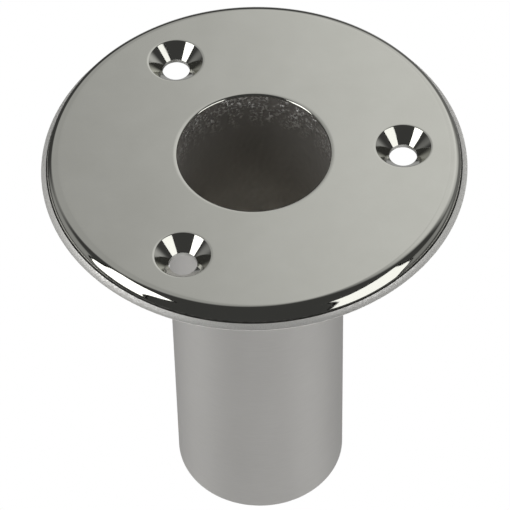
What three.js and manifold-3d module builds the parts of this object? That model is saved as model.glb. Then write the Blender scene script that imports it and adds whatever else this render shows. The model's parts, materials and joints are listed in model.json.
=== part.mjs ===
// A flush deck rod holder in stainless steel, in millimetres, +Z up.
//
// The origin is the centre of the flange's underside, the plane that rests on the deck.
// The socket tube goes down through the deck along -Z, and the rod comes in from +Z.
// Three countersunk screws hold the flange, the first of them on the +X side. The gimbal
// pin crosses the tube along X, near its foot.

import * as THREE from 'three';
import { mergeVertices } from 'three/addons/utils/BufferGeometryUtils.js';
import Module from 'manifold-3d';

// Driving dimensions of the flange.
const FLANGE_RADIUS = 50;
const FLANGE_THICKNESS = 4.4;
const SHOULDER_START = 45.8;
const GROOVE_WIDTH = 0.25;
const GROOVE_DEPTH = 0.3;
const LIP_RISE = 0.95;
const LIP_SLOPES = [56, 23];
const UNDERSIDE_CHAMFER = 0.3;

// The bends of the polished shoulder, from the flat top outwards: the radius of each, and the
// slope in degrees that it ends at.
const SHOULDER_BENDS = [[3.46, 10], [2.2, 37], [8.8, 41], [1.85, 75], [6.3, 86]];

// The screw holes: M6 countersunk heads, with 6.6 mm of clearance, on a circle of 70 mm.
const SCREW_COUNT = 3;
const SCREW_CIRCLE_RADIUS = 35;
const SCREW_HOLE_RADIUS = 3.3;
const COUNTERSINK_RADIUS = 6.5;

// The socket: pipe of 42.4 mm with a wall of 3.2 mm, let into a shallow register in the flange.
const TUBE_RADIUS = 21.2;
const TUBE_WALL = 3.2;
const TUBE_LENGTH = 110;
const TUBE_FOOT_BREAK = 0.4;
const MOUTH_ROUND = 0.55;
const REGISTER_DEPTH = 1.5;
const REGISTER_CLEARANCE = 0.3;

// The fillet weld under the flange.
const WELD_LEG = 3;
const WELD_CROWN = 0.35;

// The gimbal pin, and the welds that close its holes.
const PIN_RADIUS = 4;
const PIN_HEIGHT_OVER_FOOT = 12;
const PIN_END_CHAMFER = 0.4;
const PLUG_DEPTH = 1.5;
const FIT_GAP = 0.3;

// How finely the round shapes are divided.
const TURN_SEGMENTS = 72;
const HOLE_SEGMENTS = 32;
const ARC_STEPS = 5;
const BEND_STEP = 9;
const WELD_ARC_STEPS = 4;
const CUT_OVERSHOOT = 1;

const BORE_RADIUS = TUBE_RADIUS - TUBE_WALL;
const TUBE_TOP = REGISTER_DEPTH;
const TUBE_FOOT = TUBE_TOP - TUBE_LENGTH;
const PIN_CENTRE = TUBE_FOOT + PIN_HEIGHT_OVER_FOOT;
const PIN_HOLE_RADIUS = PIN_RADIUS + FIT_GAP;
const PIN_END = TUBE_RADIUS - PLUG_DEPTH;
const QUARTER_TURN = Math.PI / 2;

const wasm = await Module();
wasm.setup();

// An elliptical arc from one angle to another, as profile points (radius, height).
function arc(centre, halfWidth, halfHeight, fromAngle, toAngle, steps) {
  const points = [];
  for (let i = 0; i <= steps; i += 1) {
    const angle = fromAngle + ((toAngle - fromAngle) * i) / steps;
    const radius = centre[0] + halfWidth * Math.cos(angle);
    const height = centre[1] + halfHeight * Math.sin(angle);
    points.push([radius, height]);
  }
  return points;
}

// Points that bend downwards from a start point, outwards, from one slope in degrees to another.
// A round bend gets steeper. A hollow one gets flatter, and its radius is negative.
function bend(start, radius, fromSlope, toSlope) {
  const steps = Math.ceil(Math.abs(toSlope - fromSlope) / BEND_STEP);
  const first = THREE.MathUtils.degToRad(fromSlope);
  const points = [];
  for (let i = 1; i <= steps; i += 1) {
    const slope = THREE.MathUtils.degToRad(fromSlope + ((toSlope - fromSlope) * i) / steps);
    const outwards = radius * (Math.sin(slope) - Math.sin(first));
    const downwards = radius * (Math.cos(first) - Math.cos(slope));
    points.push([start[0] + outwards, start[1] - downwards]);
  }
  return points;
}

// Turns a profile about the Z axis. A profile that goes up on its outer side faces outwards.
function turned(profile, segments) {
  const points = profile.map(([radius, height]) => new THREE.Vector2(radius, height));
  const geometry = new THREE.LatheGeometry(points, segments);
  geometry.rotateX(QUARTER_TURN);
  return geometry;
}

// The same for a ring, whose profile doesn't touch the axis and closes on itself.
function turnedRing(profile, segments) {
  return turned([...profile, profile[0]], segments);
}

// A plain round bar along Z, from one height to another.
function bar(radius, bottom, top, segments) {
  return turned([[0, bottom], [radius, bottom], [radius, top], [0, top]], segments);
}

function toSolid(geometry) {
  const bare = geometry.clone();
  bare.deleteAttribute('normal');
  bare.deleteAttribute('uv');
  const merged = mergeVertices(bare);
  return new wasm.Manifold(new wasm.Mesh({
    numProp: 3,
    vertProperties: new Float32Array(merged.attributes.position.array),
    triVerts: new Uint32Array(merged.index.array),
  }));
}

function toGeometry(solid) {
  const mesh = solid.getMesh();
  const geometry = new THREE.BufferGeometry();
  geometry.setAttribute('position', new THREE.BufferAttribute(mesh.vertProperties, mesh.numProp));
  geometry.setIndex(new THREE.BufferAttribute(mesh.triVerts, 1));
  geometry.computeVertexNormals();
  return geometry;
}

function cutAway(geometry, cutters) {
  const whole = toSolid(geometry);
  return toGeometry(cutters.reduce((solid, cutter) => solid.subtract(toSolid(cutter)), whole));
}

// The polished shoulder, from the flat top out and down to its foot.
function shoulderProfile() {
  const points = [[SHOULDER_START, FLANGE_THICKNESS]];
  let slope = 0;
  SHOULDER_BENDS.forEach(([radius, endSlope]) => {
    points.push(...bend(points[points.length - 1], radius, slope, endSlope));
    slope = endSlope;
  });
  return points;
}

// The hollow lip outside the shoulder, with the narrow groove that parts the two.
function lipProfile(grooveStart) {
  const grooveEnd = grooveStart + GROOVE_WIDTH;
  const lipTop = UNDERSIDE_CHAMFER + LIP_RISE;
  const [firstSlope, lastSlope] = LIP_SLOPES;
  const sines = LIP_SLOPES.map((slope) => Math.sin(THREE.MathUtils.degToRad(slope)));
  const lipRadius = (FLANGE_RADIUS - grooveEnd) / (sines[1] - sines[0]);
  return [
    [grooveStart, lipTop - GROOVE_DEPTH],
    [grooveEnd, lipTop - GROOVE_DEPTH],
    [grooveEnd, lipTop],
    ...bend([grooveEnd, lipTop], lipRadius, firstSlope, lastSlope).slice(0, -1),
    [FLANGE_RADIUS, UNDERSIDE_CHAMFER],
    [FLANGE_RADIUS - UNDERSIDE_CHAMFER, 0],
  ];
}

// The flange is turned: a flat top, a round polished shoulder, and a low lip outside it.
function flangeGeometry() {
  const registerRadius = TUBE_RADIUS + REGISTER_CLEARANCE;
  const mouthCentre = [BORE_RADIUS + MOUTH_ROUND, FLANGE_THICKNESS - MOUTH_ROUND];
  const mouth = arc(mouthCentre, MOUTH_ROUND, MOUTH_ROUND, QUARTER_TURN, Math.PI, ARC_STEPS);
  const shoulder = shoulderProfile();
  const lip = lipProfile(shoulder[shoulder.length - 1][0]);
  const profile = [
    [BORE_RADIUS, REGISTER_DEPTH],
    [registerRadius, REGISTER_DEPTH],
    [registerRadius, 0],
    ...lip.reverse(),
    ...shoulder.reverse(),
    ...mouth,
  ];
  const holes = [];
  for (let i = 0; i < SCREW_COUNT; i += 1) {
    const angle = (i * 2 * Math.PI) / SCREW_COUNT;
    const x = SCREW_CIRCLE_RADIUS * Math.cos(angle);
    const y = SCREW_CIRCLE_RADIUS * Math.sin(angle);
    holes.push(screwHoleCutter().translate(x, y, 0));
  }
  return cutAway(turnedRing(profile, TURN_SEGMENTS), holes);
}

// A screw hole with a 90 degree countersink: the cone goes on past the top face at the same angle.
function screwHoleCutter() {
  const coneDepth = COUNTERSINK_RADIUS - SCREW_HOLE_RADIUS;
  const coneFoot = FLANGE_THICKNESS - coneDepth;
  return turned([
    [0, -CUT_OVERSHOOT],
    [SCREW_HOLE_RADIUS, -CUT_OVERSHOOT],
    [SCREW_HOLE_RADIUS, coneFoot],
    [COUNTERSINK_RADIUS + CUT_OVERSHOOT, FLANGE_THICKNESS + CUT_OVERSHOOT],
    [0, FLANGE_THICKNESS + CUT_OVERSHOOT],
  ], HOLE_SEGMENTS);
}

// The tube is cross-drilled for the gimbal pin, and the sharp edges of its foot are broken.
function tubeGeometry() {
  const profile = [
    [BORE_RADIUS, TUBE_TOP],
    [BORE_RADIUS, TUBE_FOOT + TUBE_FOOT_BREAK],
    [BORE_RADIUS + TUBE_FOOT_BREAK, TUBE_FOOT],
    [TUBE_RADIUS - TUBE_FOOT_BREAK, TUBE_FOOT],
    [TUBE_RADIUS, TUBE_FOOT + TUBE_FOOT_BREAK],
    [TUBE_RADIUS, TUBE_TOP],
  ];
  const reach = TUBE_RADIUS + CUT_OVERSHOOT;
  const drill = acrossTube(bar(PIN_HOLE_RADIUS, -reach, reach, HOLE_SEGMENTS));
  return cutAway(turnedRing(profile, TURN_SEGMENTS), [drill]);
}

// Lays a shape that was made along Z across the tube, along X, at the pin's height.
function acrossTube(geometry) {
  geometry.rotateY(QUARTER_TURN);
  geometry.translate(0, 0, PIN_CENTRE);
  return geometry;
}

// A slightly crowned fillet between the tube's wall and the flange's underside.
function flangeWeldGeometry() {
  const toe = [TUBE_RADIUS, -WELD_LEG];
  const crown = [];
  for (let i = 1; i < WELD_ARC_STEPS; i += 1) {
    const share = i / WELD_ARC_STEPS;
    const swell = (WELD_CROWN * Math.sin(Math.PI * share)) / Math.SQRT2;
    crown.push([TUBE_RADIUS + WELD_LEG * share + swell, -WELD_LEG * (1 - share) - swell]);
  }
  const profile = [toe, ...crown, [TUBE_RADIUS + WELD_LEG, 0], [TUBE_RADIUS, 0]];
  return turnedRing(profile, TURN_SEGMENTS);
}

// The pin is a round bar with chamfered ends that stop inside the tube's wall.
function pinGeometry() {
  const shank = PIN_END - PIN_END_CHAMFER;
  const tip = PIN_RADIUS - PIN_END_CHAMFER;
  return acrossTube(turned([
    [0, -PIN_END],
    [tip, -PIN_END],
    [PIN_RADIUS, -shank],
    [PIN_RADIUS, shank],
    [tip, PIN_END],
    [0, PIN_END],
  ], HOLE_SEGMENTS));
}

// A plug weld fills the hole beyond the pin's end, ground flush with the tube's outside.
function pinWeldGeometry(side) {
  const outside = TUBE_RADIUS + CUT_OVERSHOOT;
  const ends = [side * PIN_END, side * outside].sort((a, b) => a - b);
  const plug = acrossTube(bar(PIN_RADIUS, ends[0], ends[1], HOLE_SEGMENTS));
  const tubeOutside = bar(TUBE_RADIUS, TUBE_FOOT, TUBE_TOP, TURN_SEGMENTS);
  return toGeometry(toSolid(plug).intersect(toSolid(tubeOutside)));
}

function steel(color, roughness) {
  return new THREE.MeshStandardMaterial({ color, roughness, metalness: 1 });
}

const polishedSteel = steel(0xb4b4ac, 0.08);
const satinSteel = steel(0x9c9b96, 0.42);
const weldMetal = steel(0x8d8a84, 0.35);
const pinSteel = steel(0xa6a6a2, 0.22);

function piece(name, geometry, material) {
  const mesh = new THREE.Mesh(geometry, material);
  mesh.name = name;
  return mesh;
}

const rodHolder = new THREE.Group();
rodHolder.add(piece('deck_flange', flangeGeometry(), polishedSteel));
rodHolder.add(piece('socket_tube', tubeGeometry(), satinSteel));
rodHolder.add(piece('flange_weld', flangeWeldGeometry(), weldMetal));
rodHolder.add(piece('gimbal_pin', pinGeometry(), pinSteel));
rodHolder.add(piece('pin_weld_left', pinWeldGeometry(-1), weldMetal));
rodHolder.add(piece('pin_weld_right', pinWeldGeometry(1), weldMetal));

export default rodHolder;
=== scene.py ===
# The looks of a flush deck rod holder in polished stainless steel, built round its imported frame.
#
# Metres, +Z up. The origin is the centre of the flange's underside, the flange's top is towards
# +Z, the socket tube goes down along -Z, and the first screw hole is on the +X side.

import json
import math

import bmesh
import bpy
from mathutils import Matrix, Vector, noise
from mathutils.geometry import delaunay_2d_cdt


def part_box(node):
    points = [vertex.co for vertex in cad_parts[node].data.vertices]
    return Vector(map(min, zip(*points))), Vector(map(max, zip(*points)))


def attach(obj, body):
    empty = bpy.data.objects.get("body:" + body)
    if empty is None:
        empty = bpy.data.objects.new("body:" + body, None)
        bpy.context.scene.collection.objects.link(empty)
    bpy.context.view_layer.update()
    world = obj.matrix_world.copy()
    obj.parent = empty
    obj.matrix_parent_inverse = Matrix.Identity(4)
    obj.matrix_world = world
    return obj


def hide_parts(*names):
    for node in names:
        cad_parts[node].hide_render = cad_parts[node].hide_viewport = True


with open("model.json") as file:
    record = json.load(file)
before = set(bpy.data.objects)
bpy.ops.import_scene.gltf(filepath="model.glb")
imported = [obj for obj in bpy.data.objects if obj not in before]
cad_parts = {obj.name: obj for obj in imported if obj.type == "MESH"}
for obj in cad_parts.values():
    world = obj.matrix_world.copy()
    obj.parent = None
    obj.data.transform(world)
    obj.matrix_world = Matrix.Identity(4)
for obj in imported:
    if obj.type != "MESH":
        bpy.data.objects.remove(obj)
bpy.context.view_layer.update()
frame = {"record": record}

MM = 0.001
FULL_TURN = 2 * math.pi
QUARTER_TURN = math.pi / 2
BODY = "root"

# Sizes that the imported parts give.
FLANGE_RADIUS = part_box("deck_flange")[1].x
FLANGE_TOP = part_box("deck_flange")[1].z
TUBE_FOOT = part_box("socket_tube")[0].z
TUBE_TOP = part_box("socket_tube")[1].z
TUBE_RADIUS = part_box("socket_tube")[1].x
WELD_LEG = -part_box("flange_weld")[0].z
PIN_LOW, PIN_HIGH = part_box("gimbal_pin")
PIN_RADIUS = PIN_HIGH.y
PIN_END = PIN_HIGH.x
PIN_HEIGHT = (PIN_LOW.z + PIN_HIGH.z) / 2

# Sizes that their boxes don't give, as the solids have them.
TUBE_WALL = 3.2 * MM
BORE_RADIUS = TUBE_RADIUS - TUBE_WALL
MOUTH_ROUND = 0.55 * MM
SHOULDER_START = 45.8 * MM
EDGE_BREAK = 0.3 * MM
FOOT_BREAK = 0.4 * MM
REGISTER_GAP = 0.3 * MM
REGISTER_RADIUS = TUBE_RADIUS + REGISTER_GAP
SCREW_HOLE_RADIUS = 3.3 * MM
PIN_GAP = 0.3 * MM
PIN_HOLE_RADIUS = PIN_RADIUS + PIN_GAP
PIN_CHAMFER = 0.4 * MM
WELD_CROWN = 0.35 * MM

# The shoulder's bends from the flat top outwards. Each is an arc of this radius to this slope.
SHOULDER_BENDS = [
    (3.46 * MM, math.radians(10)),
    (2.2 * MM, math.radians(37)),
    (8.8 * MM, math.radians(41)),
    (1.85 * MM, math.radians(75)),
    (6.3 * MM, math.radians(86)),
]

# The lip is one hollow bend, which starts and ends at these slopes.
LIP_RISE = 0.95 * MM
LIP_SLOPES = (math.radians(56), math.radians(23))

# The groove between the shoulder and the lip. Its crease, painted dark as shade, takes in the
# shoulder's last steps.
GROOVE_WIDTH = 0.25 * MM
GROOVE_DEPTH = 0.3 * MM
CREASE_STEPS = 2

# A countersink's edge, which the polishing rolls over: it bends gently inwards from this radius to
# this slope, and then tightly into the cone.
ROLL_START = 7 * MM
ROLL_RADIUS = 3.5 * MM
ROLL_SLOPE = math.radians(6)
EDGE_RADIUS = 0.25 * MM
CONE_SLOPE = math.radians(45)
HOLE_EDGE_BREAK = 0.15 * MM

# Round every opening and inside the rim, a level band of this width joins the flat face.
FLAT_MARGIN = 0.5 * MM

# The rough-cast inside of the bore: bumps of this height and width, which fade out at its ends. Each
# octave is finer by the lacunarity, and lower by the lacunarity to the power of the smoothness.
CAST_HEIGHT = 0.07 * MM
CAST_WIDTH = 1.1 * MM
CAST_OCTAVES = 3
CAST_LACUNARITY = 2
CAST_SMOOTHNESS = 0.9
CAST_FADE = 0.9 * MM

# Heights in millimetres between which the bore's colour gets paler, painted light for the depth that
# light hardly reaches, and its bright grains, painted glints, fade out.
DEPTH_PAINTED_LIGHT = (0, -30)
GLINT_FADE = (0, -7)
# The painted glints' colour: near the mouth, where light comes in, the bright grains are painted
# near-white.
PAINTED_GLINT_COLOR = (1, 0.99, 0.96)

# The ripples of the weld bead. Their bow and their wobble are shares of the pitch.
RIPPLE_PITCH = 1.8 * MM
RIPPLE_HEIGHT = 0.12 * MM
RIPPLE_BOW = 0.9
RIPPLE_WOBBLE = 0.35
WOBBLE_LENGTH = 4 * MM

# A plug weld's face has shallow dents, and its rim sinks from this share of the radius outwards.
PLUG_RIM_START = 0.8
PLUG_SINK = 0.06 * MM
PLUG_DENT = 0.02 * MM
PLUG_DENT_WIDTH = 1.2 * MM

# The lathe's rings under the flange, in radians of a wave per millimetre.
LATHE_WAVE = 14

# How finely the shapes are divided.
TURN_SEGMENTS = 288
HOLE_SEGMENTS = 120
BEAD_SEGMENTS = 720
PIN_SEGMENTS = 72
ARC_STEPS = 14
SMALL_ARC_STEPS = 8
BEAD_ROWS = 14
PLUG_RINGS = 12
TUBE_ROW = 4 * MM
CAST_ROW = 0.5 * MM
SHARP_ANGLE = math.radians(32)

# Points closer than the first, and edges shorter than the second, are merged.
WELD_DISTANCE = 1e-7
SLIVER = 0.005 * MM


# Lists of points ------------------------------------------------------------------------------

def circle(centre, radius, segments):
    """Points round a circle, as (x, y) vectors, from the +X side towards +Y."""
    across, along = centre
    turns = [FULL_TURN * step / segments for step in range(segments)]
    return [Vector((across + radius * math.cos(a), along + radius * math.sin(a))) for a in turns]


def level_ring(radius, height, segments=TURN_SEGMENTS, centre=(0, 0)):
    """Points round a level circle, as (x, y, z) vectors."""
    return [Vector((x, y, height)) for x, y in circle(centre, radius, segments)]


def arc(centre, radius, start, end):
    """Points of a small arc in a profile, as (radius, height)."""
    across, height = centre
    turns = [start + (end - start) * step / SMALL_ARC_STEPS for step in range(SMALL_ARC_STEPS + 1)]
    return [(across + radius * math.cos(a), height + radius * math.sin(a)) for a in turns]


def roll_down(start, slope_from, slope_to, radius, steps, way=-1):
    """Points of a profile that bend downwards from one slope to another.

    They go inwards or, with way 1, outwards. A hollow bend gets flatter, and its radius is negative.
    """
    points = []
    for step in range(steps + 1):
        slope = slope_from + (slope_to - slope_from) * step / steps
        along = radius * (math.sin(slope) - math.sin(slope_from))
        downwards = radius * (math.cos(slope_from) - math.cos(slope))
        points.append((start[0] + way * along, start[1] - downwards))
    return points


def stretch(start, end, spacing):
    """Points on a straight line of a profile, no further apart than the spacing."""
    steps = max(1, math.ceil(math.dist(start, end) / spacing))
    run = end[0] - start[0]
    rise = end[1] - start[1]
    shares = [step / steps for step in range(steps + 1)]
    return [(start[0] + run * share, start[1] + rise * share) for share in shares]


# Surfaces -------------------------------------------------------------------------------------

def band(mesh, one, other, finish=0):
    """Joins two rings of corners with four-sided faces."""
    for step in range(len(one)):
        after = (step + 1) % len(one)
        face = mesh.faces.new((one[step], one[after], other[after], other[step]))
        face.material_index = finish


def bridge(mesh, one, other, finish):
    """Joins two rings of points that have the same number of points."""
    first = [mesh.verts.new(point) for point in one]
    second = [mesh.verts.new(point) for point in other]
    band(mesh, first, second, finish)


def turned(mesh, profile, segments, finish, centre=(0, 0), surface=None):
    """Sweeps a profile of (radius, height) points round an upright line."""
    rings = []
    for radius, height in profile:
        ring = level_ring(radius, height, segments, centre)
        if surface:
            ring = [surface(point) for point in ring]
        rings.append([mesh.verts.new(point) for point in ring])
    for one, other in zip(rings, rings[1:]):
        band(mesh, one, other, finish)


def flat(mesh, height, outer, holes, finish):
    """Adds a level face with round holes. All its circles are given as (centre, radius, segments)."""
    points = []
    edges = []
    for centre, radius, segments in [outer, *holes]:
        first = len(points)
        points.extend(circle(centre, radius, segments))
        edges.extend((first + step, first + (step + 1) % segments) for step in range(segments))
    coords, _, triangles, *_ = delaunay_2d_cdt(points, edges, [], 0, WELD_DISTANCE)
    corners = [mesh.verts.new((point.x, point.y, height)) for point in coords]
    for triangle in triangles:
        middle = sum((coords[corner] for corner in triangle), Vector((0, 0))) / len(triangle)
        if all((middle - Vector(centre)).length > radius for centre, radius, _ in holes):
            face = mesh.faces.new([corners[corner] for corner in triangle])
            face.material_index = finish


def finished(mesh, name, materials):
    """Closes the seams between the patches, and makes an object of the mesh."""
    bmesh.ops.remove_doubles(mesh, verts=mesh.verts, dist=WELD_DISTANCE)
    bmesh.ops.recalc_face_normals(mesh, faces=mesh.faces)
    for face in mesh.faces:
        face.smooth = True
    data = bpy.data.meshes.new(name)
    mesh.to_mesh(data)
    mesh.free()
    data.set_sharp_from_angle(angle=SHARP_ANGLE)
    for material in materials:
        data.materials.append(material)
    piece = bpy.data.objects.new(name, data)
    bpy.context.scene.collection.objects.link(piece)
    return piece


def install(piece, node):
    """The piece rides on the holder's one body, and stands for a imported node."""
    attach(piece, BODY)
    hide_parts(node)


# Node helpers ---------------------------------------------------------------------------------

def add(tree, kind, inputs=None, **settings):
    """Adds a node: an input is a value, or another node's output."""
    made = tree.nodes.new(kind)
    for key, value in settings.items():
        setattr(made, key, value)
    for key, value in (inputs or {}).items():
        if isinstance(value, bpy.types.NodeSocket):
            tree.links.new(value, made.inputs[key])
        else:
            made.inputs[key].default_value = value
    return made


def metal(name, color, roughness):
    """A new metal, with its node tree, its shader, and object coordinates in millimetres.

    Its plain colour and roughness are about the average of what its nodes give.
    """
    material = bpy.data.materials.new(name)
    material.use_nodes = True
    tree = material.node_tree
    shader = tree.nodes["Principled BSDF"]
    shader.inputs["Metallic"].default_value = 1
    shader.inputs["Base Color"].default_value = (*color, 1)
    shader.inputs["Roughness"].default_value = roughness
    place = add(tree, "ShaderNodeTexCoord").outputs["Object"]
    scaled = add(tree, "ShaderNodeVectorMath", {0: place, "Scale": 1 / MM}, operation="SCALE")
    return material, tree, shader, scaled.outputs["Vector"]


def dress(tree, shader, color, roughness, normal=None):
    """Links a metal's shader to the nodes that vary its looks."""
    tree.links.new(color, shader.inputs["Base Color"])
    tree.links.new(roughness, shader.inputs["Roughness"])
    if normal:
        tree.links.new(normal, shader.inputs["Normal"])


def calculated(tree, operation, *values):
    """The result of one operation of arithmetic."""
    inputs = dict(enumerate(values))
    return add(tree, "ShaderNodeMath", inputs, operation=operation).outputs["Value"]


def cloud(tree, place, width, detail=2, stretched=(1, 1, 1)):
    """Soft noise from 0 to 1, whose blotches are about this many millimetres wide."""
    scale = [1 / (width * share) for share in stretched]
    at = add(tree, "ShaderNodeVectorMath", {0: place, 1: scale}, operation="MULTIPLY")
    inputs = {"Vector": at.outputs["Vector"], "Scale": 1, "Detail": detail}
    return add(tree, "ShaderNodeTexNoise", inputs).outputs["Fac"]


def spread(tree, value, low, high, start=0.3, end=0.7):
    """Takes a value from the range start to end, which soft noise mostly fills, to low to high."""
    inputs = {"Value": value, "From Min": start, "From Max": end, "To Min": low, "To Max": high}
    return add(tree, "ShaderNodeMapRange", inputs).outputs["Result"]


def tinted(tree, value, dark, light, limits=()):
    """A colour from dark to light, as a value goes over the limits or over the range of soft noise."""
    ramp = add(tree, "ShaderNodeValToRGB", {"Fac": spread(tree, value, 0, 1, *limits)})
    ramp.color_ramp.elements[0].color = (*dark, 1)
    ramp.color_ramp.elements[1].color = (*light, 1)
    return ramp.outputs["Color"]


def relief(tree, height, depth):
    """Bump of this many millimetres."""
    inputs = {"Height": height, "Strength": 1, "Distance": depth * MM}
    return add(tree, "ShaderNodeBump", inputs).outputs["Normal"]


# Materials ------------------------------------------------------------------------------------

def polished_steel():
    """Mirror polish, with the faint waviness and haze that a buffing wheel leaves."""
    material, tree, shader, place = metal("polished_steel_finish", (0.67, 0.67, 0.615), 0.06)
    haze = cloud(tree, place, 9, detail=4)
    color = tinted(tree, haze, (0.655, 0.655, 0.6), (0.685, 0.685, 0.63))
    both = calculated(tree, "MULTIPLY", haze, cloud(tree, place, 0.8, detail=3))
    rough = spread(tree, both, 0.05, 0.085, start=0.12, end=0.42)
    wave = relief(tree, cloud(tree, place, 11, detail=1), 0.006)
    dress(tree, shader, color, rough, wave)
    return material


def satin_edge():
    """The lip outside the shoulder, left with the fine grain of the linishing belt."""
    material, tree, shader, place = metal("satin_edge_finish", (0.915, 0.91, 0.885), 0.7)
    grain = cloud(tree, place, 0.35, detail=3, stretched=(1, 1, 0.35))
    color = tinted(tree, grain, (0.88, 0.875, 0.85), (0.95, 0.945, 0.92))
    rough = spread(tree, cloud(tree, place, 0.25), 0.4, 1)
    dress(tree, shader, color, rough, relief(tree, grain, 0.012))
    return material


def painted_shade_crease():
    """The crease at the shoulder's foot, painted dark as the shade that falls in the groove."""
    material, tree, shader, place = metal("dull_crease_finish", (0.16, 0.158, 0.146), 0.7)
    shade_blotch = cloud(tree, place, 1.5, detail=3)
    # Painted shade: the crease is coloured dark, in blotches, for the shade that falls in the groove.
    color = tinted(tree, shade_blotch, (0.1, 0.1, 0.092), (0.22, 0.216, 0.2))
    dress(tree, shader, color, spread(tree, shade_blotch, 0.6, 0.8))
    return material


def machined_face():
    """The flange's underside, faced on a lathe: fine rings round the axis."""
    material, tree, shader, place = metal("machined_face_finish", (0.58, 0.575, 0.55), 0.36)
    level = add(tree, "ShaderNodeVectorMath", {0: place, 1: (1, 1, 0)}, operation="MULTIPLY")
    radius = add(tree, "ShaderNodeVectorMath", {0: level.outputs["Vector"]}, operation="LENGTH")
    wave = calculated(tree, "MULTIPLY", radius.outputs["Value"], LATHE_WAVE)
    rings = calculated(tree, "SINE", wave)
    blotch = cloud(tree, place, 12, detail=4)
    color = tinted(tree, blotch, (0.52, 0.515, 0.49), (0.62, 0.615, 0.59))
    dress(tree, shader, color, spread(tree, blotch, 0.3, 0.44), relief(tree, rings, 0.003))
    return material


def drilled_steel():
    """The plain wall of a drilled hole: dull, with drill marks round it."""
    material, tree, shader, place = metal("drilled_steel_finish", (0.55, 0.55, 0.52), 0.4)
    marks = cloud(tree, place, 3, detail=3, stretched=(1, 1, 0.06))
    color = tinted(tree, marks, (0.48, 0.48, 0.45), (0.62, 0.62, 0.59))
    dress(tree, shader, color, spread(tree, marks, 0.32, 0.5), relief(tree, marks, 0.02))
    return material


def cast_bore():
    """The rough-cast inside: dark and grainy, with small bright flats among the grains, painted as
    glints near the mouth.
    """
    material, tree, shader, place = metal("cast_bore_finish", (0.58, 0.56, 0.53), 0.85)
    height = add(tree, "ShaderNodeSeparateXYZ", {0: place}).outputs["Z"]
    # Painted light: the colour is paler deeper down the bore, standing in for light that hardly
    # reaches there.
    painted_light_tone = tinted(tree, height, (0.385, 0.368, 0.345), (0.77, 0.75, 0.71), limits=DEPTH_PAINTED_LIGHT)
    grain = cloud(tree, place, 0.75, detail=3)
    clumps = spread(tree, cloud(tree, place, 3, detail=1), 0, 1, start=0.35, end=0.6)
    near_mouth = spread(tree, height, 1, 0, *GLINT_FADE)
    mask = calculated(tree, "MULTIPLY", clumps, near_mouth)
    specks = spread(tree, grain, 0, 1, start=0.52, end=0.58)
    speckle_and_glint = calculated(tree, "MULTIPLY", specks, mask)
    # Partly real, partly painted: grains near the mouth get lower roughness and bumps, and their
    # colour is painted near-white as glints.
    inputs = {"Factor": speckle_and_glint, "A": painted_light_tone, "B": (*PAINTED_GLINT_COLOR, 1)}
    color = add(tree, "ShaderNodeMix", inputs, data_type="RGBA").outputs["Result"]
    rough = spread(tree, speckle_and_glint, 0.85, 0.15, start=0, end=1)
    rise = calculated(tree, "MULTIPLY", grain, mask)
    dress(tree, shader, color, rough, relief(tree, rise, 1.4))
    return material


def satin_steel():
    """The tube's outside: an even satin grind, with long faint shades round it."""
    material, tree, shader, place = metal("satin_steel_finish", (0.66, 0.65, 0.63), 0.64)
    marks = cloud(tree, place, 0.5, detail=3, stretched=(8, 8, 0.6))
    shade = cloud(tree, place, 22, stretched=(1, 1, 2))
    color = tinted(tree, shade, (0.645, 0.635, 0.615), (0.675, 0.665, 0.645))
    dress(tree, shader, color, spread(tree, marks, 0.6, 0.68), relief(tree, marks, 0.006))
    return material


def weld_metal():
    """Weld bead: duller steel, straw-tinted in patches where it was hottest."""
    material, tree, shader, place = metal("weld_metal_finish", (0.525, 0.495, 0.44), 0.37)
    heat = cloud(tree, place, 4, detail=3)
    color = tinted(tree, heat, (0.5, 0.49, 0.47), (0.55, 0.5, 0.41))
    rough = spread(tree, cloud(tree, place, 0.9, detail=3), 0.28, 0.46)
    dress(tree, shader, color, rough, relief(tree, cloud(tree, place, 0.4, detail=3), 0.02))
    return material


def brushed_pin():
    """Drawn round bar, brushed along its length."""
    material, tree, shader, place = metal("brushed_pin_finish", (0.62, 0.615, 0.6), 0.29)
    lines = cloud(tree, place, 0.25, detail=3, stretched=(40, 1, 1))
    color = tinted(tree, lines, (0.57, 0.565, 0.55), (0.67, 0.665, 0.65))
    dress(tree, shader, color, spread(tree, lines, 0.22, 0.36), relief(tree, lines, 0.006))
    return material


# The order of the finishes in the flange's list of materials, and in the tube's.
POLISHED, SATIN_EDGE, CREASE, MACHINED, DRILLED, CAST = range(6)
TUBE_SATIN, TUBE_ENDS, TUBE_CAST = range(3)


# Pieces ---------------------------------------------------------------------------------------

def screw_hole_centres():
    """The middles of the screw holes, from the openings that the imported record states."""
    centres = []
    for opening in frame["record"]["physics"]["openings"]:
        if opening["name"].startswith("screw_hole"):
            low, high = opening["box_m"]
            centres.append(((low[0] + high[0]) / 2, (low[1] + high[1]) / 2))
    return centres


def rough_cast(point):
    """Moves a point of the bore's wall in or out, by less and less towards its ends."""
    from_mouth = FLANGE_TOP - MOUTH_ROUND - point.z
    from_foot = point.z - TUBE_FOOT - FOOT_BREAK
    fade = max(0, min(1, from_mouth / CAST_FADE, from_foot / CAST_FADE))
    bump = noise.fractal(point / CAST_WIDTH, CAST_SMOOTHNESS, CAST_LACUNARITY, CAST_OCTAVES)
    outwards = Vector((point.x, point.y, 0)).normalized()
    return point + outwards * (CAST_HEIGHT * fade * bump)


def bore_wall(mesh, low, high, finish):
    """The rough-cast wall of the bore between two heights."""
    wall = stretch((BORE_RADIUS, high), (BORE_RADIUS, low), CAST_ROW)
    turned(mesh, wall, TURN_SEGMENTS, finish, surface=rough_cast)


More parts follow.
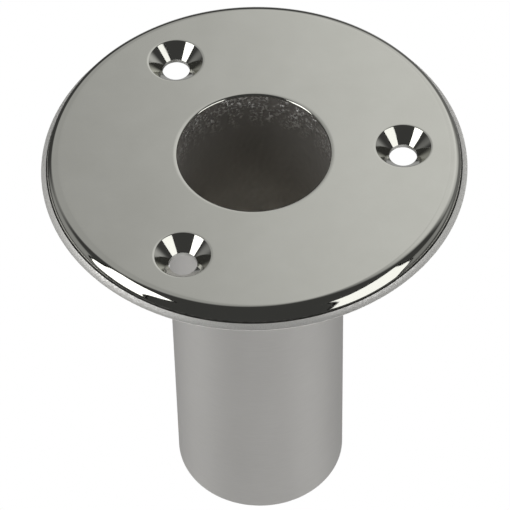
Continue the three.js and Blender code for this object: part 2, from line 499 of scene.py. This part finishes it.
def bore_ledge(mesh, radius, finish):
    """The level ring at the tube's top, from the rough wall out to a radius.

    It starts at the rough wall's own points, so that the seam closes.
    """
    rough_ring = [rough_cast(point) for point in level_ring(BORE_RADIUS, TUBE_TOP)]
    bridge(mesh, rough_ring, level_ring(radius, TUBE_TOP), finish)


def shoulder_profile():
    """The round shoulder, from the flat top outwards and down to its foot."""
    points = [(SHOULDER_START, FLANGE_TOP)]
    slope = 0
    for radius, end_slope in SHOULDER_BENDS:
        points.extend(roll_down(points[-1], slope, end_slope, radius, SMALL_ARC_STEPS, 1)[1:])
        slope = end_slope
    return points


def flange_rim(mesh):
    """The flange's rim, from its flat top out over the shoulder and the lip to the underside.

    Returns the radii where the flat top and the underside meet it.
    """
    shoulder = shoulder_profile()
    groove_inner = shoulder[-1][0]
    groove_outer = groove_inner + GROOVE_WIDTH
    lip_start = (groove_outer, EDGE_BREAK + LIP_RISE)
    first_slope, last_slope = LIP_SLOPES
    # The lip is hollow, so this comes out negative.
    lip_radius = (FLANGE_RADIUS - groove_outer) / (math.sin(last_slope) - math.sin(first_slope))
    lip = roll_down(lip_start, first_slope, last_slope, lip_radius, ARC_STEPS, 1)
    groove_floor = lip_start[1] - GROOVE_DEPTH
    groove = [(groove_inner, groove_floor), (groove_outer, groove_floor)]
    edge = arc((FLANGE_RADIUS - EDGE_BREAK, EDGE_BREAK), EDGE_BREAK, 0, -QUARTER_TURN)
    flat_edge = (SHOULDER_START - FLAT_MARGIN, FLANGE_TOP)
    flat_foot = (FLANGE_RADIUS - EDGE_BREAK - FLAT_MARGIN, 0)
    turned(mesh, [flat_edge, *shoulder[:-CREASE_STEPS]], TURN_SEGMENTS, POLISHED)
    # The shoulder's last steps and the groove take the crease's painted shade.
    turned(mesh, [*shoulder[-CREASE_STEPS - 1:], *groove], TURN_SEGMENTS, CREASE)
    turned(mesh, [groove[-1], *lip[:-1], *edge], TURN_SEGMENTS, SATIN_EDGE)
    turned(mesh, [edge[-1], flat_foot], TURN_SEGMENTS, MACHINED)
    return flat_edge[0], flat_foot[0]


def flange_bore(mesh):
    """The bore through the flange, and the register under it that the tube sits in.

    Returns the radii where the flat top and the underside meet it.
    """
    mouth_centre = (BORE_RADIUS + MOUTH_ROUND, FLANGE_TOP - MOUTH_ROUND)
    mouth = arc(mouth_centre, MOUTH_ROUND, QUARTER_TURN, math.pi)
    flat_top = (mouth_centre[0] + FLAT_MARGIN, FLANGE_TOP)
    flat_foot = (REGISTER_RADIUS + FLAT_MARGIN, 0)
    turned(mesh, [flat_top, *mouth], TURN_SEGMENTS, POLISHED)
    bore_wall(mesh, TUBE_TOP, mouth[-1][1], CAST)
    bore_ledge(mesh, REGISTER_RADIUS, MACHINED)
    register = [(REGISTER_RADIUS, TUBE_TOP), (REGISTER_RADIUS, 0)]
    turned(mesh, [*register, flat_foot], TURN_SEGMENTS, MACHINED)
    return flat_top[0], flat_foot[0]


def screw_hole(mesh, centre):
    """A countersunk hole whose edge is rolled over by the polishing.

    Returns the radii where the flat top and the underside meet it.
    """
    roll = roll_down((ROLL_START, FLANGE_TOP), 0, ROLL_SLOPE, ROLL_RADIUS, ARC_STEPS)
    edge = roll_down(roll[-1], ROLL_SLOPE, CONE_SLOPE, EDGE_RADIUS, SMALL_ARC_STEPS)
    cone_run = edge[-1][0] - SCREW_HOLE_RADIUS
    cone_foot = (SCREW_HOLE_RADIUS, edge[-1][1] - cone_run / math.tan(CONE_SLOPE))
    foot_edge = [(SCREW_HOLE_RADIUS, HOLE_EDGE_BREAK), (SCREW_HOLE_RADIUS + HOLE_EDGE_BREAK, 0)]
    flat_top = (ROLL_START + FLAT_MARGIN, FLANGE_TOP)
    flat_foot = (foot_edge[-1][0] + FLAT_MARGIN, 0)
    turned(mesh, [flat_top, *roll, *edge[1:], cone_foot], HOLE_SEGMENTS, POLISHED, centre)
    turned(mesh, [cone_foot, *foot_edge], HOLE_SEGMENTS, DRILLED, centre)
    turned(mesh, [foot_edge[-1], flat_foot], HOLE_SEGMENTS, MACHINED, centre)
    return flat_top[0], flat_foot[0]


def flange_casting(materials):
    """The flange, with its bore and its screw holes."""
    mesh = bmesh.new()
    top_outer, foot_outer = flange_rim(mesh)
    top_inner, foot_inner = flange_bore(mesh)
    top_holes = [((0, 0), top_inner, TURN_SEGMENTS)]
    foot_holes = [((0, 0), foot_inner, TURN_SEGMENTS)]
    for centre in screw_hole_centres():
        top_radius, foot_radius = screw_hole(mesh, centre)
        top_holes.append((centre, top_radius, HOLE_SEGMENTS))
        foot_holes.append((centre, foot_radius, HOLE_SEGMENTS))
    flat(mesh, FLANGE_TOP, ((0, 0), top_outer, TURN_SEGMENTS), top_holes, POLISHED)
    flat(mesh, 0, ((0, 0), foot_outer, TURN_SEGMENTS), foot_holes, MACHINED)
    piece = finished(mesh, "flange_casting", materials)
    install(piece, "deck_flange")


def socket_pipe(materials):
    """The tube, with the hole that is drilled across it for the pin."""
    mesh = bmesh.new()
    outside = stretch((TUBE_RADIUS, TUBE_TOP), (TUBE_RADIUS, TUBE_FOOT + FOOT_BREAK), TUBE_ROW)
    foot = [
        (TUBE_RADIUS, TUBE_FOOT + FOOT_BREAK),
        (TUBE_RADIUS - FOOT_BREAK, TUBE_FOOT),
        (BORE_RADIUS + FOOT_BREAK, TUBE_FOOT),
        (BORE_RADIUS, TUBE_FOOT + FOOT_BREAK),
    ]
    turned(mesh, outside, TURN_SEGMENTS, TUBE_SATIN)
    turned(mesh, foot, TURN_SEGMENTS, TUBE_ENDS)
    bore_wall(mesh, TUBE_FOOT + FOOT_BREAK, TUBE_TOP, TUBE_CAST)
    bore_ledge(mesh, TUBE_RADIUS, TUBE_ENDS)
    piece = finished(mesh, "socket_pipe", materials)
    # The drill is turned by half a step, so that its corners miss the tube's edges.
    drill = cross_bar("pin_drill", PIN_HOLE_RADIUS, 2 * TUBE_RADIUS, turn=math.pi / PIN_SEGMENTS)
    cut(piece, drill)
    install(piece, "socket_tube")


def cross_bar(name, radius, half_length, chamfer=0, turn=0, materials=()):
    """A round bar along X, at the pin's height, turned about its own axis."""
    mesh = bmesh.new()
    profile = [(radius - chamfer, -half_length), (radius, chamfer - half_length),
               (radius, half_length - chamfer), (radius - chamfer, half_length)]
    if not chamfer:
        profile = profile[1:3]
    turned(mesh, profile, PIN_SEGMENTS, 0)
    mesh.verts.ensure_lookup_table()
    mesh.faces.new(mesh.verts[:PIN_SEGMENTS])
    mesh.faces.new(mesh.verts[-PIN_SEGMENTS:])
    lay = Matrix.Translation((0, 0, PIN_HEIGHT)) @ Matrix.Rotation(QUARTER_TURN, 4, "Y")
    lay = lay @ Matrix.Rotation(turn, 4, "Z")
    bmesh.ops.transform(mesh, matrix=lay, verts=mesh.verts)
    return finished(mesh, name, materials)


def cut(piece, cutter):
    """Cuts one piece by another, clears away the slivers of the cut, and removes the cutter."""
    modifier = piece.modifiers.new("cut", "BOOLEAN")
    modifier.object = cutter
    modifier.operation = "DIFFERENCE"
    modifier.solver = "EXACT"
    bpy.context.view_layer.update()
    evaluated = piece.evaluated_get(bpy.context.evaluated_depsgraph_get())
    shaped = bpy.data.meshes.new_from_object(evaluated)
    mesh = bmesh.new()
    mesh.from_mesh(shaped)
    bmesh.ops.dissolve_degenerate(mesh, dist=SLIVER, edges=mesh.edges)
    many_sided = [face for face in mesh.faces if len(face.verts) > 4]
    bmesh.ops.triangulate(mesh, faces=many_sided)
    mesh.to_mesh(shaped)
    mesh.free()
    piece.modifiers.clear()
    piece.data = shaped
    shaped.set_sharp_from_angle(angle=SHARP_ANGLE)
    bpy.data.objects.remove(cutter)


def fillet_bead(material):
    """The weld under the flange: a crowned fillet, with the crescent ripples of each puddle."""
    mesh = bmesh.new()
    ripples = round(FULL_TURN * TUBE_RADIUS / RIPPLE_PITCH)
    loops = []
    for step in range(BEAD_SEGMENTS):
        angle = FULL_TURN * step / BEAD_SEGMENTS
        run = TUBE_RADIUS * angle
        # The corner, then the bead's face from the tube out to the flange.
        loop = [(TUBE_RADIUS, 0)]
        for row in range(BEAD_ROWS + 1):
            share = row / BEAD_ROWS
            crown = math.sin(math.pi * share)
            bow = RIPPLE_BOW * (2 * share - 1) ** 2
            wobble = RIPPLE_WOBBLE * noise.noise(Vector((run / WOBBLE_LENGTH, share, 0)))
            phase = ripples * angle + FULL_TURN * (bow + wobble)
            hollow = 1 - abs(math.cos(phase / 2))
            out = crown * (WELD_CROWN - RIPPLE_HEIGHT * hollow) / math.sqrt(2)
            loop.append((TUBE_RADIUS + WELD_LEG * share + out, -WELD_LEG * (1 - share) - out))
        turn = Matrix.Rotation(angle, 3, "Z")
        placed = [turn @ Vector((radius, 0, height)) for radius, height in loop]
        loops.append([mesh.verts.new(point) for point in placed])
    for step in range(BEAD_SEGMENTS):
        band(mesh, loops[step], loops[(step + 1) % BEAD_SEGMENTS])
    piece = finished(mesh, "fillet_bead", [material])
    install(piece, "flange_weld")


def plug(name, node, side, material):
    """A plug weld in the pin's hole, ground flush with the tube, with a faint sunken rim."""
    mesh = bmesh.new()
    rings = []
    for index in range(1, PLUG_RINGS + 1):
        share = index / PLUG_RINGS
        sink = PLUG_SINK * max(0, (share - PLUG_RIM_START) / (1 - PLUG_RIM_START)) ** 2
        ring = []
        for y, z in circle((0, 0), PIN_HOLE_RADIUS * share, PIN_SEGMENTS):
            dent = PLUG_DENT * abs(noise.noise(Vector((y, z, 0)) / PLUG_DENT_WIDTH))
            x = math.sqrt(TUBE_RADIUS ** 2 - y ** 2) - sink - dent
            ring.append(mesh.verts.new((side * x, y, PIN_HEIGHT + z)))
        rings.append(ring)
    back = [mesh.verts.new((side * PIN_END, y, PIN_HEIGHT + z))
            for y, z in circle((0, 0), PIN_HOLE_RADIUS, PIN_SEGMENTS)]
    rings.append(back)
    mesh.faces.new(rings[0])
    mesh.faces.new(back)
    for one, other in zip(rings, rings[1:]):
        band(mesh, one, other)
    piece = finished(mesh, name, [material])
    install(piece, node)


machined = machined_face()
cast = cast_bore()
weld = weld_metal()
flange_casting([polished_steel(), satin_edge(), painted_shade_crease(), machined, drilled_steel(), cast])
socket_pipe([satin_steel(), machined, cast])
fillet_bead(weld)
pin = cross_bar("cross_pin", PIN_RADIUS, PIN_END, PIN_CHAMFER, materials=[brushed_pin()])
install(pin, "gimbal_pin")
plug("plug_left", "pin_weld_left", -1, weld)
plug("plug_right", "pin_weld_right", 1, weld)


# Light ----------------------------------------------------------------------------------------

# Two soft boxes, at this distance from the origin. Their angles are in degrees, and the turn is about
# the line to the origin.
SOFTBOX_DISTANCE = 1.2
SOFTBOXES = [
    {"name": "right_softbox", "azimuth": -35.6, "elevation": 2, "turn": -1.5,
     "width": 0.82, "height": 1.94, "radiance": 1.4},
    {"name": "left_softbox", "azimuth": -157.6, "elevation": 8.5, "turn": -5,
     "width": 0.63, "height": 1.84, "radiance": 2.3},
]

# The black frame round a soft box.
FLAG_MARGIN = 0.065
FLAG_GAP = 0.01

# The room is dark, over a pale floor that sets in well below the horizon, at these sines of the
# elevation.
ROOM_RADIANCE = 0.052
FLOOR_RADIANCE = 1.1
FLOOR_SINES = (-0.72, -0.85)

# The room's soft lights: azimuth and elevation, the angles from the middle where the light starts
# and stops fading, all in degrees, and radiance.
GLOWS = [
    (48, 35, 19, 38, 0.68),
    (126, 42, 28, 38, 0.36),
    (171, -8, 18, 34, 0.26),
    (-6, -10, 14, 30, 0.2),
    (39, -5, 10, 45, 0.12),
    (85, -38, 12, 26, 0.3),
    (-90, -58, 8, 20, 0.45),
]


def plain_glow(name, strength):
    """A surface that only shines, white, with this strength."""
    material = bpy.data.materials.new(name)
    material.use_nodes = True
    tree = material.node_tree
    tree.nodes.remove(tree.nodes["Principled BSDF"])
    glow = add(tree, "ShaderNodeEmission", {"Color": (1, 1, 1, 1), "Strength": strength})
    tree.links.new(glow.outputs["Emission"], tree.nodes["Material Output"].inputs["Surface"])
    return material


def direction(azimuth, elevation):
    """The unit vector towards an azimuth and elevation in degrees."""
    turn = math.radians(azimuth)
    rise = math.radians(elevation)
    level = math.cos(rise)
    return Vector((level * math.cos(turn), level * math.sin(turn), math.sin(rise)))


def softbox(name, azimuth, elevation, turn, width, height, radiance):
    """A rectangular lamp that faces the origin, with its frame."""
    light = bpy.data.lights.new(name, "AREA")
    light.shape = "RECTANGLE"
    light.size = width
    light.size_y = height
    light.energy = math.pi * radiance * width * height
    lamp = bpy.data.objects.new(name, light)
    towards = direction(azimuth, elevation)
    facing = towards.to_track_quat("Z", "Y").to_matrix().to_4x4()
    place = Matrix.Translation(towards * SOFTBOX_DISTANCE)
    lamp.matrix_world = place @ facing @ Matrix.Rotation(math.radians(turn), 4, "Z")
    lamp.visible_camera = False
    bpy.context.scene.collection.objects.link(lamp)
    flag(name, lamp.matrix_world, width, height)


def flag(name, place, width, height):
    """The black frame of a soft box, which stands just behind it and shows round its edge."""
    mesh = bmesh.new()
    bmesh.ops.create_grid(mesh, size=1)
    half_size = Matrix.Diagonal((width / 2 + FLAG_MARGIN, height / 2 + FLAG_MARGIN, 1, 1))
    behind = Matrix.Translation((0, 0, FLAG_GAP))
    bmesh.ops.transform(mesh, matrix=behind @ half_size, verts=mesh.verts)
    black = finished(mesh, name + "_frame", [plain_glow("flag_black", 0)])
    black.matrix_world = place
    black.visible_camera = False
    black.visible_shadow = False


def soft_step(tree, value, limits, height):
    """Rises smoothly from 0 to a height as a value passes between two limits."""
    start, end = limits
    inputs = {"Value": value, "From Min": start, "From Max": end, "To Min": 0, "To Max": height}
    made = add(tree, "ShaderNodeMapRange", inputs, interpolation_type="SMOOTHSTEP")
    return made.outputs["Result"]


def room():
    """The dark room round the object, with its floor and its soft lights."""
    world = bpy.data.worlds.new("room")
    bpy.context.scene.world = world
    world.use_nodes = True
    tree = world.node_tree
    towards = add(tree, "ShaderNodeTexCoord").outputs["Generated"]
    height = add(tree, "ShaderNodeSeparateXYZ", {0: towards}).outputs["Z"]
    floor = soft_step(tree, height, FLOOR_SINES, FLOOR_RADIANCE)
    total = calculated(tree, "ADD", floor, ROOM_RADIANCE)
    for azimuth, elevation, core, edge, radiance in GLOWS:
        inputs = {0: towards, 1: direction(azimuth, elevation)}
        along = add(tree, "ShaderNodeVectorMath", inputs, operation="DOT_PRODUCT").outputs["Value"]
        limits = (math.cos(math.radians(edge)), math.cos(math.radians(core)))
        light = soft_step(tree, along, limits, radiance)
        total = calculated(tree, "ADD", total, light)
    background = tree.nodes["Background"]
    tree.links.new(total, background.inputs["Strength"])
    background.inputs["Color"].default_value = (1, 1, 1, 1)


for box in SOFTBOXES:
    softbox(**box)
room()


# Stage and camera -----------------------------------------------------------------------------

FLOOR_HALF = 3
DOME_RADIUS = 5
DOME_SUBDIVISIONS = 4


def shown_to_camera_only(piece):
    """The object then mirrors the room, and not the stage."""
    piece.visible_diffuse = False
    piece.visible_glossy = False
    piece.visible_transmission = False
    piece.visible_volume_scatter = False
    piece.visible_shadow = False


def stage():
    """A white floor at the tube's foot, and a white dome round everything."""
    white = plain_glow("stage_white", 1)
    mesh = bmesh.new()
    bmesh.ops.create_grid(mesh, size=FLOOR_HALF)
    bmesh.ops.translate(mesh, verts=mesh.verts, vec=(0, 0, TUBE_FOOT))
    shown_to_camera_only(finished(mesh, "floor", [white]))
    mesh = bmesh.new()
    bmesh.ops.create_icosphere(mesh, subdivisions=DOME_SUBDIVISIONS, radius=DOME_RADIUS)
    shown_to_camera_only(finished(mesh, "backdrop", [white]))


# The camera's place, from the middle of the flange's top, is turned about the upright axis.
CAMERA_TURN = math.radians(-1.3)
CAMERA_PITCH = math.radians(50.256)
CAMERA_ROLL = math.radians(-1.364)
CAMERA_PLACE = Vector((-0.31, -511.46, 577.41)) * MM
CAMERA_LENS = 232.87
SENSOR_WIDTH = 36


def camera():
    """The camera, which looks down at the flange from the front."""
    data = bpy.data.cameras.new("camera")
    data.lens = CAMERA_LENS
    data.sensor_width = SENSOR_WIDTH
    data.clip_end = 4 * DOME_RADIUS
    taker = bpy.data.objects.new("camera", data)
    bpy.context.scene.collection.objects.link(taker)
    turn = Matrix.Rotation(CAMERA_TURN, 4, "Z")
    place = Matrix.Translation(CAMERA_PLACE + Vector((0, 0, FLANGE_TOP)))
    pitch = Matrix.Rotation(QUARTER_TURN - CAMERA_PITCH, 4, "X")
    taker.matrix_world = turn @ place @ pitch @ Matrix.Rotation(CAMERA_ROLL, 4, "Z")
    bpy.context.scene.camera = taker


stage()
camera()
bpy.context.scene.view_settings.view_transform = "Standard"
